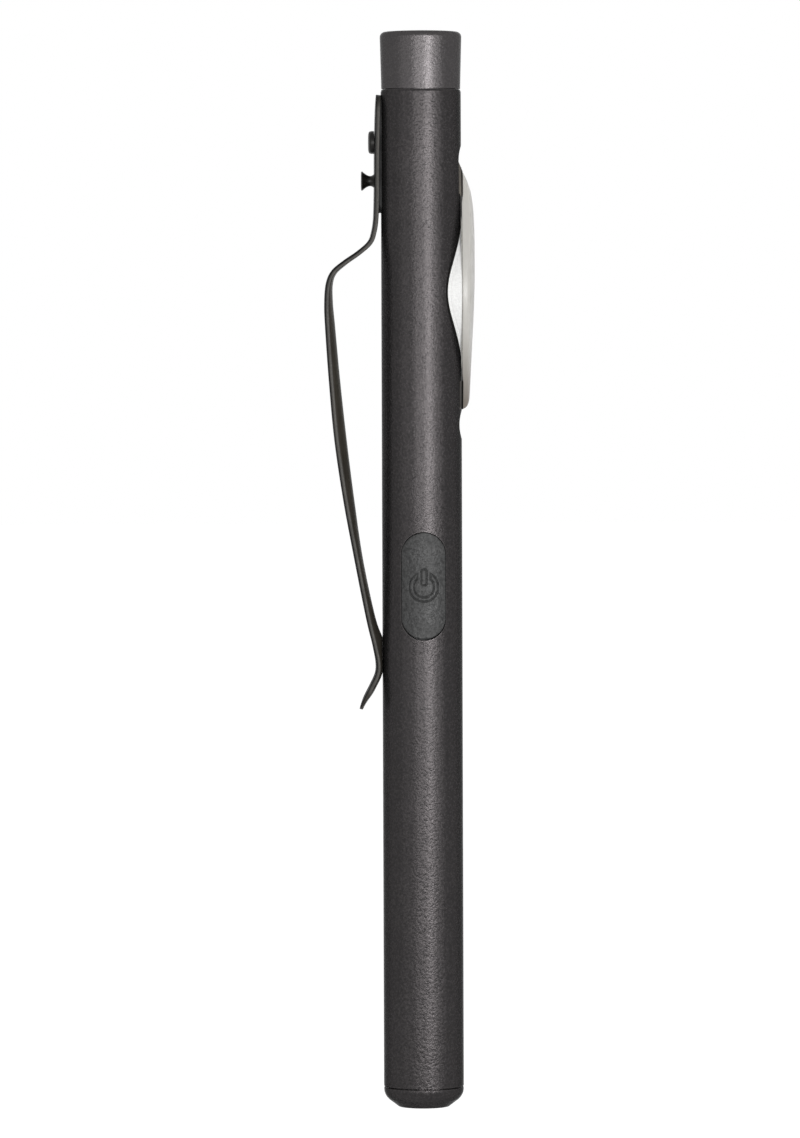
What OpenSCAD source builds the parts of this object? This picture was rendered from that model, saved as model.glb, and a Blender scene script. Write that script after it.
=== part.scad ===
// Slim pocket penlight with a side lamp, a spot light in its head and a spring clip.
// +Z runs up the tube, the origin is the middle of the tail's flat end.
// The clip is on -X, the side lamp on +X and the push button on -Y. Sizes are in millimetres.

/* [Tube] */
// Overall length from the tail face to the head rim
total_len = 165; // [163:0.5:170]
// Outside diameter of the tube
tube_d = 12.3; // [12.2:0.05:12.5]
// Bore of the tube, for an AAA size cell
bore_d = 10.6; // [10.5:0.05:10.7]
// Height of the seam between the tail cap and the tube
tail_seam_z = 3.1; // [2.9:0.05:3.3]
// Height of the head cap above the tube
head_h = 8.8; // [8.6:0.1:9.2]

/* [Head and tail] */
// Head cap diameter just under its rounded rim
head_rim_d = 12.5; // [12.3:0.05:12.8]
// Head cap diameter at the seam
head_seam_d = 12.1; // [12:0.05:12.3]
// Radius of the rounded head rim
head_round = 0.8; // [0.5:0.05:0.9]
// Width of the open seams
seam_gap = 0.15; // [0.1:0.01:0.25]
// Radius of the flat tail face
tail_face_r = 3.9; // [3.6:0.05:4.1]
// Height of the tail chamfer
tail_chamfer_h = 2.15; // [1.9:0.05:2.3]
// Pitch of the tail thread
thread_pitch = 0.75; // [0.7:0.05:0.8]

/* [Side lamp] */
// Height of the middle of the lamp window
lamp_z = 125.1; // [124:0.1:126]
// Half width of the lamp window
window_half_w = 5; // [4.8:0.05:5.05]
// Half length of the lamp window
window_half_l = 13; // [12.5:0.1:13.5]
// Lower end of the lens
lens_z0 = 107.3; // [107:0.1:107.6]
// Upper end of the seat under the lens
lens_z1 = 145.2; // [145:0.05:145.3]
// Distance from the axis to the front of the lens
lens_out = 8.17; // [7.9:0.01:8.4]
// Depth of the dips in the tube beyond the lens
dip_depth = 0.45; // [0.35:0.05:0.55]

/* [Button] */
// Height of the middle of the push button
button_z = 80.2; // [79:0.1:81]
// Length of the push button
button_l = 16.4; // [15:0.1:17]
// Width of the push button
button_w = 6.6; // [6:0.1:7]
// Travel of the push button
button_travel = 0.5; // [0.4:0.05:0.5]
// Outer radius of the ring of the power sign
sign_r = 2.3; // [2:0.05:2.5]
// Line width of the power sign
sign_line = 0.65; // [0.5:0.05:0.8]

/* [Clip] */
// Width of the spring clip
clip_w = 4.4; // [4.2:0.1:5]
// Thickness of the spring sheet
clip_t = 0.77; // [0.7:0.01:0.8]
// Height of the top end of the clip
clip_top_z = 155.4; // [154.5:0.1:155.5]
// Height of the axis about which the arm flexes
flex_z = 136.6; // [136.4:0.1:136.8]
// Height of the low button head
rivet_z = 148.1; // [148:0.1:148.4]
// Height of the flared stud
stud_z = 142.2; // [141.8:0.1:142.6]
// Diameter of the low button head
rivet_d = 3.5; // [3.2:0.1:3.8]
// Diameter of the flared end of the stud
stud_d = 3; // [2.6:0.1:3.2]

/* [Hidden] */
$fn = 96;
eps = 0.01;

tube_r = tube_d / 2;
bore_r = bore_d / 2;
head_seam_z = total_len - head_h;

// Fits: slip is a part that slides past another, seat is a part glued or set into another
slip = 0.1;
seat = 0.05;
// Length by which a cut runs past the surface it opens
past = 1;

// Tail thread: a plain relieved bore in the tube, ridges on the cap
thread_bore_r = bore_r + 0.25;
thread_r = thread_bore_r - slip;
thread_depth = 0.3;
thread_top_z = tail_seam_z + 6.9;
tail_bore_r = 3.9;
tail_floor_z = 2.6;

// Seals: round section rings in square grooves
ring_r = 0.45;
ring_fit = 0.02;
groove_half = ring_r + slip;
head_ring_z = head_seam_z - 3.2;
tail_ring_z = tail_seam_z + 0.95;
head_ring_at = bore_r - ring_r - ring_fit;
tail_ring_at = thread_bore_r - ring_r - seat - ring_fit;

// Head interior, from the shoulder up to the lens
spigot_r = bore_r - slip;
spigot_z = head_seam_z - 5.7;
head_bore_r = 4.85;
head_part_r = head_bore_r - slip;
head_shoulder_z = head_seam_z + 0.8;
head_wire_r = 3.4;
board_t = 1;
front_lens_t = 1.1;
front_lens_z = total_len - 0.6 - front_lens_t;

// Layers of the side lamp outward from the axis
led_board_x = 0;
led_board_t = 0.85;
lamp_board_half_l = 9;
reflector_x = led_board_x + led_board_t + seat;
seal_x = tube_r - 0.15;
seal_t = 0.16;
lens_x = seal_x + seal_t + eps;
land_x = tube_r - dip_depth - eps;
land_t = 0.26;
lens_half_w = window_half_w + 0.05;
// The thin part of the seal runs between these heights, the thicker end lands lie beyond them
seal_z0 = lens_z0 + 4.2;
seal_z1 = lens_z1 - 5;
dip_radius = 6;
dip_z = 20.25;
led_pitch = 5;

// Button and switch, measured outward along -Y
boot_gap = 0.12;
boot_proud = 0.05;
flange_y = -3.3;
boss_y = -2.65;
boss_r = 1.6;
sign_depth = 0.2;
retainer_y = flange_y + button_travel + slip;
retainer_t = 1.2;
switch_w = 6;
switch_y = -1.4;
plunger_r = 1.5;
plunger_bore = 0.85;

// Driver board and its cradle
pcb_y = 0.5;
pcb_w = 9.4;
pcb_z0 = 59.2;
pcb_z1 = 104.8;
cradle_z1 = 102;
lead_r = 0.38;
lead_lift = lead_r + 0.02;
lead_z = cradle_z1 + 0.5;

// Battery bay
cell_z = 12;
cell_len = 44.5;
cell_d = 10.2;
nub_r = 1.9;
nub_h = 1;
contact_z = cell_z + cell_len + seat;
contact_t = 0.45;

// Tail spring: a conical helix
spring_wire_r = 0.3;
spring_turns = 5;
spring_r0 = 3.3;
spring_r1 = 2.2;
spring_z0 = tail_floor_z + spring_wire_r + eps;
spring_z1 = cell_z - spring_wire_r - slip;
spring_rings = 8;
spring_sides = 6;

// Clip stack outward from the tube on -X
pad_t = 0.27;
pad_half_w = 1.2;
clip_in_x = -tube_r - pad_t - eps;
clip_mid_x = clip_in_x - clip_t / 2;
clip_out_x = clip_in_x - clip_t;
knuckle_r = clip_t / 2;
knuckle_gap = 0.08;
shank_r = 0.78;
hole_r = 0.82;
collar_r = 1.4;
collar_x = -bore_r + 0.27;
collar_t = 0.65;
rivet_proud = 0.86;
stud_proud = 1.97;

// Outer line of the clip arm, from the flex axis to the tip: [x, z]
arm_line = [[-7.21, 136.6], [-7.5, 134.4], [-8.1, 132.9], [-9.85, 131.4], [-12, 129.9], [-13.8, 128.4],
            [-14.62, 126.6], [-14.92, 123.6], [-14.8, 120], [-14.2, 111.4], [-13.37, 102.3], [-12, 93],
            [-10.35, 84], [-8.6, 74.8], [-7.55, 70.4], [-7.15, 68.2], [-7.38, 66.6], [-8.2, 64.8],
            [-9.1, 63], [-9.75, 61.3]];
// Depth by which the middle of the strip bulges towards the tube at the same points
arm_arch = [0, 0, 0.02, 0.1, 0.2, 0.3, 0.45, 0.7, 0.98, 1.2, 1.35, 1.12, 0.75, 0.66, 0.38, 0.17, 0.22, 0.3,
            0.3, 0.25];
arm_sheet = 0.72;
arm_steps = 3;
arm_across = 8;
// Length over which the tip of the arm is rounded
tip_round = 3.4;

// Helper curves

// Uniform cubic through points p at parameter u, where whole numbers fall on the points
function at(p, i) = p[max(0, min(len(p) - 1, i))];
function blend4(a, b, c, d, t) =
    b + 0.5 * t * (c - a + t * (2 * a - 5 * b + 4 * c - d + t * (3 * (b - c) + d - a)));
function curve(p, u) =
    let (i = min(floor(u), len(p) - 2))
    blend4(at(p, i - 1), at(p, i), at(p, i + 1), at(p, i + 2), u - i);

// Modules used by several parts

// Turns a drawing in (y, z) into a slab from x0 to x1
module slab_x(x0, x1) {
    translate([x0, 0, 0])
        rotate([90, 0, 90])
            linear_extrude(x1 - x0)
                children();
}

// Turns a drawing in (x, z) into a slab from y0 to y1
module slab_y(y0, y1) {
    translate([0, y1, 0])
        rotate([90, 0, 0])
            linear_extrude(y1 - y0)
                children();
}

// A box from corner to corner
module box(a, b) {
    translate(a)
        cube(b - a);
}

// A cylinder along X from x0 to x1
module rod_x(x0, x1, r) {
    translate([x0, 0, 0])
        rotate([0, 90, 0])
            cylinder(h = x1 - x0, r = r);
}

// A cylinder along Y from y0 to y1
module rod_y(y0, y1, r) {
    translate([0, y1, 0])
        rotate([90, 0, 0])
            cylinder(h = y1 - y0, r = r);
}

// Pointed oval of the lamp window, grown by g and scaled by k
module window_shape(g, k = 1) {
    n = 24;
    tip_w = 0.1;
    side = [for (i = [-n : n]) [k * max(tip_w, window_half_w * cos(90 * i / n) + g),
                                k * (window_half_l + g) * i / n]];
    back = [for (i = [2 * n : -1 : 0]) [-side[i][0], side[i][1]]];
    translate([0, lamp_z])
        polygon(concat(side, back));
}

// Plan of the lens, shrunk by g: an eye with rounded corners, widest at the middle of the window
module lens_shape(g) {
    n = 24;
    corner_w = 1.6;
    function half_w(a) = corner_w * cos(a) + (lens_half_w - g - corner_w) * pow(cos(90 * sin(a)), 2);
    function reach(a) = (a > 0 ? lens_z1 - lamp_z : lamp_z - lens_z0) - g;
    side = [for (i = [-n : n]) let (a = 90 * i / n) [half_w(a), lamp_z + reach(a) * sin(a)]];
    back = [for (i = [2 * n - 1 : -1 : 1]) [-side[i][0], side[i][1]]];
    polygon(concat(side, back));
}

// Obround along Z, as a drawing in (x, z)
module obround(w, l) {
    for (s = [-1, 1])
        translate([0, s * (l - w) / 2])
            circle(d = w);
    square([w, l - w], center = true);
}

// Round section seal lying flat at height z
module seal_ring(at_r, z) {
    translate([0, 0, z])
        rotate_extrude()
            translate([at_r, 0])
                circle(r = ring_r, $fn = 32);
}

// Tube and caps

module barrel_tube() {
    z0 = tail_seam_z + seam_gap / 2;
    z1 = head_seam_z - seam_gap / 2;
    top_bevel = 0.12;
    bevel_h = 0.35;
    edge = 0.1;
    relief = 0.25;
    color([0.23, 0.22, 0.22])
        difference() {
            rotate_extrude()
                polygon([[bore_r, thread_top_z + 2 * relief], [thread_bore_r, thread_top_z + relief],
                         [thread_bore_r, z0], [tube_r - edge, z0], [tube_r, z0 + edge],
                         [tube_r, z1 - bevel_h], [tube_r - top_bevel, z1], [bore_r, z1]]);
            slab_x(0, tube_r + past)
                window_shape(0);
            // Shallow flats that the lamp seal lies in, and the dips beyond them
            box([seal_x - eps, -tube_r, seal_z0], [tube_r + past, tube_r, seal_z1]);
            for (s = [-1, 1]) {
                low = s > 0 ? seal_z1 - eps : lens_z0 - seat;
                high = s > 0 ? lamp_z + dip_z : seal_z0 + eps;
                box([land_x, -tube_r, low], [tube_r + past, tube_r, high]);
                translate([tube_r - dip_depth + dip_radius, 0, lamp_z + s * dip_z])
                    rod_y(-tube_r, tube_r, dip_radius);
            }
            slab_y(-tube_r - past, 0)
                translate([0, button_z])
                    obround(button_w + 2 * boot_gap, button_l + 2 * boot_gap);
            for (z = [rivet_z, stud_z])
                translate([0, 0, z])
                    rod_x(-tube_r - past, 0, hole_r);
        }
}

module head_cap() {
    z0 = head_seam_z + seam_gap / 2;
    rim_r = head_rim_d / 2;
    arc = [for (a = [0 : 15 : 90]) [rim_r - head_round + head_round * cos(a),
                                    total_len - head_round + head_round * sin(a)]];
    groove_r = head_ring_at - ring_r - ring_fit;
    mouth_bevel = 0.35;
    lead_in = 0.2;
    color([0.3, 0.29, 0.29])
        rotate_extrude()
            polygon(concat(
                [[head_seam_d / 2, z0]], arc,
                [[head_bore_r + mouth_bevel, total_len], [head_bore_r, total_len - mouth_bevel],
                 [head_bore_r, head_shoulder_z], [head_wire_r, head_shoulder_z],
                 [head_wire_r, spigot_z], [spigot_r - lead_in, spigot_z], [spigot_r, spigot_z + lead_in],
                 [spigot_r, head_ring_z - groove_half], [groove_r, head_ring_z - groove_half],
                 [groove_r, head_ring_z + groove_half], [spigot_r, head_ring_z + groove_half],
                 [spigot_r, z0]]));
}

module head_o_ring() {
    color([0.08, 0.08, 0.08])
        seal_ring(head_ring_at, head_ring_z);
}

module tail_cap() {
    z1 = tail_seam_z - seam_gap / 2;
    shoulder_r = tube_r - 0.03;
    edge = 0.06;
    face_edge = 0.2;
    // Rounded corner between the chamfer and the side: [in from the side, below the chamfer's height]
    corner = [[0.74, 0.98], [0.4, 0.6], [0.17, 0.2], [0.04, -0.2], [0, -0.5]];
    groove_r = tail_ring_at - ring_r - ring_fit;
    thread_z0 = tail_ring_z + groove_half + 0.4;
    turns = floor((thread_top_z - thread_z0) / thread_pitch);
    root_r = thread_r - thread_depth;
    function ridge(i, k) = thread_z0 + (i + k) * thread_pitch;
    ridges = [for (i = [0 : turns - 1]) each [
        [root_r, ridge(i, 0.1)], [thread_r, ridge(i, 0.45)],
        [thread_r, ridge(i, 0.6)], [root_r, ridge(i, 0.95)]]];
    color([0.23, 0.22, 0.22])
        rotate_extrude()
            polygon(concat(
                [[0, 0], [tail_face_r - face_edge, 0], [tail_face_r, face_edge / 4]],
                [for (p = corner) [shoulder_r - p[0], tail_chamfer_h - p[1]]],
                [[shoulder_r, z1 - edge], [shoulder_r - edge, z1], [thread_r, z1],
                 [thread_r, tail_ring_z - groove_half], [groove_r, tail_ring_z - groove_half],
                 [groove_r, tail_ring_z + groove_half], [thread_r, tail_ring_z + groove_half],
                 [thread_r, thread_z0]],
                ridges,
                [[root_r, thread_top_z], [tail_bore_r, thread_top_z],
                 [tail_bore_r, tail_floor_z], [0, tail_floor_z]]));
}

module tail_o_ring() {
    color([0.08, 0.08, 0.08])
        seal_ring(tail_ring_at, tail_ring_z);
}

// Spot light in the head

module front_lens() {
    crown = 0.25;
    bevel = 0.1;
    flat_w = 0.3;
    n = 12;
    dome = [for (i = [0 : n]) let (r = (head_part_r - flat_w) * (1 - i / n))
            [r, front_lens_z + front_lens_t - crown + crown * (1 - pow(1 - i / n, 2))]];
    color([0.85, 0.88, 0.9, 0.6])
        rotate_extrude()
            polygon(concat([[0, front_lens_z], [head_part_r, front_lens_z],
                            [head_part_r, front_lens_z + front_lens_t - crown - bevel]], dome));
}

module front_reflector() {
    z0 = head_shoulder_z + board_t + seat;
    z1 = front_lens_z - seat;
    throat = 1.9;
    lip = 0.35;
    mouth = head_part_r - lip;
    n = 12;
    bowl = [for (i = [n : -1 : 0]) let (k = i / n) [throat + (mouth - throat) * k, z0 + (z1 - z0) * k * k]];
    color([0.9, 0.9, 0.9])
        rotate_extrude()
            polygon(concat([[throat + lip, z0], [head_part_r, z0], [head_part_r, z1]], bowl));
}

module front_led() {
    z = head_shoulder_z + board_t + eps;
    side = 2;
    base_h = 0.5;
    dome_r = 0.85;
    color([0.95, 0.85, 0.35])
        union() {
            box([-side / 2, -side / 2, z], [side / 2, side / 2, z + base_h]);
            intersection() {
                translate([0, 0, z + base_h])
                    sphere(dome_r);
                box([-side, -side, z + base_h - seat], [side, side, z + base_h + dome_r + past]);
            }
        }
}

module front_board() {
    color([0.1, 0.35, 0.2])
        translate([0, 0, head_shoulder_z])
            cylinder(h = board_t, r = head_part_r);
}

// Side lamp

module side_reflector() {
    rim = seal_x - ring_fit;
    floor_x = reflector_x + 0.8;
    // Size of the bowl's mouth and floor against the window
    mouth_k = 0.86;
    floor_k = 0.6;
    slot_half_w = 1.6;
    slot_half_l = led_pitch + 1.7;
    color([0.92, 0.92, 0.91])
        difference() {
            slab_x(reflector_x, rim)
                window_shape(-seat);
            hull() {
                slab_x(rim - eps, rim + eps)
                    window_shape(-seat, mouth_k);
                slab_x(floor_x, floor_x + eps)
                    window_shape(-seat, floor_k);
            }
            box([reflector_x - past, -slot_half_w, lamp_z - slot_half_l],
                [floor_x + slip, slot_half_w, lamp_z + slot_half_l]);
        }
}

module side_led_board() {
    half_w = 3.4;
    color([0.9, 0.9, 0.88])
        box([led_board_x, -half_w, lamp_z - lamp_board_half_l],
            [led_board_x + led_board_t, half_w, lamp_z + lamp_board_half_l]);
}

module side_leds() {
    half = 1.4;
    h = 0.7;
    cup_r = 1.05;
    cup_depth = 0.15;
    x0 = led_board_x + led_board_t + eps;
    color([0.96, 0.88, 0.4])
        for (i = [-1 : 1])
            translate([0, 0, lamp_z + i * led_pitch])
                difference() {
                    box([x0, -half, -half], [x0 + h, half, half]);
                    rod_x(x0 + h - cup_depth, x0 + h + past, cup_r);
                }
}

module side_bezel() {
    low_x = land_x + eps;
    out_x = seal_x + seal_t;
    land_out = out_x + land_t;
    z0 = seal_z0 - seat;
    z1 = seal_z1 + seat;
    inset = 0.1;
    opening_k = 0.88;
    // The upper land slopes down into the dip over this length, to this thickness
    slope_l = 1.6;
    tip_t = 0.1;
    color([0.13, 0.12, 0.12])
        difference() {
            intersection() {
                slab_x(0, tube_r * 2)
                    lens_shape(inset);
                // Side line: a thin ring between two thicker end lands
                slab_y(-tube_r, tube_r)
                    polygon([[low_x, lens_z0], [land_out, lens_z0], [land_out, z0], [out_x, z0],
                             [out_x, z1], [land_out, z1], [land_out, lens_z1 - slope_l],
                             [low_x + tip_t, lens_z1], [low_x, lens_z1], [low_x, z1],
                             [seal_x, z1], [seal_x, z0], [low_x, z0]]);
            }
            slab_x(0, tube_r * 2)
                window_shape(-seat, opening_k);
        }
}

module side_lens() {
    // Outer line of the lens: [behind the front, below lens_z1], then [behind the front, above lens_z0]
    upper = [[1.74, 1.7], [1.35, 2.5], [1.05, 3.2], [0.55, 4.8], [0.2, 7.2], [0.05, 10.1], [0, 14.7]];
    lower = [[0.05, 18.7], [0.38, 10.7], [0.6, 6.2], [0.74, 3.2], [0.85, 1.5], [1.07, 0.6], [1.42, 0.25],
             [1.74, 0.1]];
    line = concat([for (p = upper) [lens_out - p[0], lens_z1 - p[1]]],
                  [for (p = lower) [lens_out - p[0], lens_z0 + p[1]]]);
    steps = 3;
    front = [for (i = [0 : steps * (len(line) - 1)]) curve(line, i / steps)];
    step_x = lens_x + land_t;
    z0 = seal_z0 - seat;
    z1 = seal_z1 + seat;
    color([0.82, 0.81, 0.79, 0.6])
        intersection() {
            slab_y(-tube_r, tube_r)
                polygon(concat(front, [[step_x, z0], [lens_x, z0], [lens_x, z1], [step_x, z1]]));
            slab_x(0, tube_r * 2)
                lens_shape(0);
        }
}

// Spring clip and its fasteners

module clip_pad() {
    z0 = flex_z + 0.7;
    // The pad's back reaches this far in, to follow the round of the tube
    sink = 0.35;
    color([0.07, 0.07, 0.07])
        difference() {
            box([-tube_r - pad_t, -pad_half_w, z0], [-tube_r + sink, pad_half_w, clip_top_z - slip]);
            cylinder(h = total_len, r = tube_r + eps / 2);
            for (z = [rivet_z, stud_z])
                translate([0, 0, z])
                    rod_x(-tube_r - past, 0, hole_r);
        }
}

module clip_base() {
    corner = 2;
    half = clip_w / 2;
    color([0.13, 0.13, 0.13])
        difference() {
            slab_x(clip_out_x, clip_in_x)
                union() {
                    translate([-half, flex_z])
                        square([clip_w, clip_top_z - corner - flex_z]);
                    translate([corner - half, clip_top_z - corner])
                        square([clip_w - 2 * corner, corner]);
                    for (s = [-1, 1])
                        translate([s * (half - corner), clip_top_z - corner])
                            circle(corner);
                }
            translate([clip_mid_x, 0, flex_z])
                rod_y(-half - past, half + past, knuckle_r + knuckle_gap);
            for (z = [rivet_z, stud_z])
                translate([0, 0, z])
                    rod_x(clip_out_x - past, clip_in_x + past, hole_r);
        }
}

module clip_rivet() {
    r = rivet_d / 2;
    edge = 0.3;
    tail = clip_out_x - collar_x;
    color([0.1, 0.1, 0.1])
        translate([clip_out_x - eps, 0, rivet_z])
            rotate([0, -90, 0])
                rotate_extrude()
                    polygon([[0, rivet_proud], [r - edge * 1.6, rivet_proud],
                             [r - edge * 0.4, rivet_proud - edge * 0.4],
                             [r, rivet_proud - edge * 1.4], [r, 0], [shank_r, 0],
                             [shank_r, tail], [collar_r, tail],
                             [collar_r, tail - collar_t], [0, tail - collar_t]]);
}

module clip_stud() {
    // Trumpet line from the foot on the clip to the flared outer face
    foot_r = 1.05;
    neck_r = 0.78;
    neck_at = 0.3;
    rim_h = 0.15;
    face_edge = 0.1;
    tail = clip_out_x - collar_x;
    n = 10;
    flare = [for (i = [0 : n]) let (k = i / n)
             [k < neck_at ? foot_r - (foot_r - neck_r) * sin(90 * k / neck_at)
                          : neck_r + (stud_d / 2 - neck_r) * (1 - cos(90 * (k - neck_at) / (1 - neck_at))),
              (stud_proud - rim_h) * k]];
    color([0.1, 0.09, 0.09])
        translate([clip_out_x - eps, 0, stud_z])
            rotate([0, -90, 0])
                rotate_extrude()
                    polygon(concat(
                        [[0, tail - collar_t], [collar_r, tail - collar_t],
                         [collar_r, tail], [shank_r, tail], [shank_r, 0]],
                        flare, [[stud_d / 2 - face_edge, stud_proud], [0, stud_proud]]));
}

// The arm is a sheet swept along arm_line, bulged towards the tube, with a rounded tip
module clip_arm() {
    last = len(arm_line) - 1;
    count = last * arm_steps;
    start = 0.08;
    tip_share = 0.22;
    us = [for (i = [0 : count]) max(start, i / arm_steps)];
    pts = [for (u = us) curve(arm_line, u)];
    function along(i) = pts[min(i + 1, count)] - pts[max(i - 1, 0)];
    function inward(i) = let (d = along(i)) [-d[1], d[0]] / norm(d);
    function to_tip(i) = norm(pts[count] - pts[i]);
    function half_w(i) =
        let (k = min(1, to_tip(i) / tip_round))
        clip_w / 2 * max(tip_share, sqrt(1 - pow(1 - k, 2)));
    function place(i, v, depth) =
        let (s = curve(arm_arch, us[i]), p = pts[i] + inward(i) * (s * (1 - v * v) + depth))
        [p[0], v * half_w(i), p[1]];
    across = [for (j = [0 : arm_across]) -1 + 2 * j / arm_across];
    ring = 2 * (arm_across + 1);
    points = [for (i = [0 : count]) each concat(
        [for (v = across) place(i, v, 0)],
        [for (j = [arm_across : -1 : 0]) place(i, across[j], arm_sheet)])];
    sides = [for (i = [0 : count - 1]) for (j = [0 : ring - 1])
             let (a = i * ring + j, b = i * ring + (j + 1) % ring)
             each [[a, b + ring, b], [a, a + ring, b + ring]]];
    end = count * ring;
    caps = [for (j = [0 : arm_across - 1]) let (k = ring - 1 - j) each [
        [j, j + 1, k], [k, j + 1, k - 1],
        [j + end, k + end, j + 1 + end], [k + end, k - 1 + end, j + 1 + end]]];
    color([0.13, 0.13, 0.13])
        union() {
            polyhedron(points, concat(sides, caps));
            translate([clip_mid_x, 0, flex_z])
                rod_y(-clip_w / 2, clip_w / 2, knuckle_r);
        }
}

// Button and switch

module button_boot() {
    out_r = tube_r + boot_proud;
    in_r = bore_r - slip;
    flange_w = button_w + 1.6;
    flange_l = button_l + 2;
    // The sign is a ring with a gap at its top and an upright bar in the gap
    gap_half = sign_line * 1.4;
    bar_w = 0.9;
    bar_l = 2.4;
    sign_low = 0.2;
    module sign() {
        difference() {
            circle(sign_r);
            circle(sign_r - sign_line);
            translate([-gap_half, 0])
                square([2 * gap_half, sign_r + past]);
        }
        translate([-bar_w / 2, sign_low])
            square([bar_w, bar_l]);
    }
    color([0.29, 0.3, 0.3])
        difference() {
            union() {
                intersection() {
                    slab_y(-out_r - past, flange_y)
                        translate([0, button_z])
                            obround(button_w, button_l);
                    cylinder(h = total_len, r = out_r);
                }
                intersection() {
                    slab_y(-tube_r, flange_y)
                        translate([0, button_z])
                            obround(flange_w, flange_l);
                    cylinder(h = total_len, r = in_r);
                }
                translate([0, 0, button_z])
                    rod_y(flange_y - eps, boss_y, boss_r);
            }
            difference() {
                slab_y(-out_r - past, flange_y - past)
                    translate([0, button_z - sign_low])
                        sign();
                cylinder(h = total_len, r = out_r - sign_depth);
            }
        }
}

module switch_plunger() {
    color([0.1, 0.1, 0.1])
        translate([0, 0, button_z])
            rod_y(boss_y + eps, switch_y + slip, plunger_r);
}

module switch_body() {
    half = switch_w / 2;
    color([0.75, 0.75, 0.77])
        difference() {
            box([-half, switch_y, button_z - half], [half, pcb_y - eps, button_z + half]);
            translate([0, 0, button_z])
                rod_y(switch_y - past, switch_y + plunger_bore, plunger_r + slip);
        }
}

module button_retainer() {
    half_w = 4.2;
    half_l = 10;
    leg = 1.2;
    boss_room = 0.6;
    back = retainer_y + retainer_t;
    color([0.2, 0.2, 0.22])
        difference() {
            union() {
                box([-half_w, retainer_y, button_z - half_l], [half_w, back, button_z + half_l]);
                for (s = [-1, 1])
                    translate([0, 0, button_z + s * (half_l - leg / 2)])
                        box([-half_w, back - eps, -leg / 2], [half_w, pcb_y - eps, leg / 2]);
            }
            translate([0, 0, button_z])
                rod_y(retainer_y - past, back + past, boss_r + boss_room);
        }
}

// Driver board, its parts and its cradle

module driver_board() {
    color([0.1, 0.35, 0.2])
        box([-pcb_w / 2, pcb_y, pcb_z0], [pcb_w / 2, pcb_y + board_t, pcb_z1]);
}

module driver_coil() {
    z = 65;
    r = 2.4;
    h = 2.6;
    rim = 0.5;
    dimple_r = 0.8;
    dimple = 0.3;
    color([0.3, 0.28, 0.26])
        translate([0, 0, z])
            difference() {
                union() {
                    rod_y(pcb_y - h, pcb_y - h + rim, r);
                    rod_y(pcb_y - h, pcb_y - eps, r - rim);
                    rod_y(pcb_y - rim, pcb_y - eps, r);
                }
                rod_y(pcb_y - h - past, pcb_y - h + dimple, dimple_r);
            }
}

module driver_chips() {
    // Corner and size of each chip on the front of the board: [x, z, width, length, height]
    chips = [[-3.6, 93.5, 4, 5, 1.1], [1.4, 94, 2.2, 1.4, 0.8], [1.4, 97, 2.2, 1.4, 0.8],
             [-3.2, 100.2, 1.6, 0.9, 0.6], [1.8, 100.2, 1.6, 0.9, 0.6]];
    color([0.12, 0.12, 0.13])
        for (c = chips)
            box([c[0], pcb_y - eps - c[4], c[1]], [c[0] + c[2], pcb_y - eps, c[1] + c[3]]);
}

module board_carrier() {
    z0 = contact_z + contact_t + seat;
    r = bore_r - slip;
    wall = 1;
    floor_t = 2;
    pin_hole_r = 0.9;
    shelf = pcb_y + board_t + eps;
    color([0.25, 0.25, 0.27])
        difference() {
            union() {
                intersection() {
                    translate([0, 0, z0])
                        cylinder(h = cradle_z1 - z0, r = r);
                    box([-tube_r, shelf, z0], [tube_r, tube_r, cradle_z1]);
                }
                translate([0, 0, z0])
                    cylinder(h = pcb_z0 - eps - z0, r = r);
            }
            translate([0, 0, pcb_z0 + floor_t])
                cylinder(h = cradle_z1, r = r - wall);
            translate([0, 0, z0 - past])
                cylinder(h = pcb_z0 - z0 + 2 * past, r = pin_hole_r);
        }
}

// A straight lead along Z
module lead(x, y, z0, z1) {
    translate([x, y, z0])
        cylinder(h = z1 - z0, r = lead_r, $fn = 24);
}

// One lead on each side of the driver board, up behind the lamp board
module lamp_leads() {
    x = led_board_x - lead_lift;
    overlap_l = 2;
    color([0.7, 0.1, 0.1])
        for (y = [pcb_y - lead_lift, pcb_y + board_t + lead_lift])
            lead(x, y, lead_z, lamp_z - lamp_board_half_l + overlap_l);
}

// Two leads side by side, up through the head to the front board
module spot_leads() {
    color([0.15, 0.15, 0.15])
        for (x = [-2.7, -1.6])
            lead(x, pcb_y - lead_lift, lead_z, head_shoulder_z - eps);
}

// Battery bay

module battery_cell() {
    can_len = cell_len - nub_h;
    edge = 0.3;
    nub_edge = 0.15;
    r = cell_d / 2;
    color([0.2, 0.25, 0.32])
        translate([0, 0, cell_z])
            rotate_extrude()
                polygon([[0, 0], [r - edge, 0], [r, edge], [r, can_len - edge], [r - edge, can_len],
                         [nub_r, can_len], [nub_r, cell_len - nub_edge], [nub_r - nub_edge, cell_len],
                         [0, cell_len]]);
}

// A round plate on the cell's nub and a pin up to the driver board
module cell_contact() {
    plate_r = 2.6;
    pin_r = 0.8;
    color([0.85, 0.75, 0.45])
        translate([0, 0, contact_z])
            union() {
                cylinder(h = contact_t, r = plate_r);
                cylinder(h = pcb_z0 - contact_z - eps, r = pin_r);
            }
}

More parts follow.
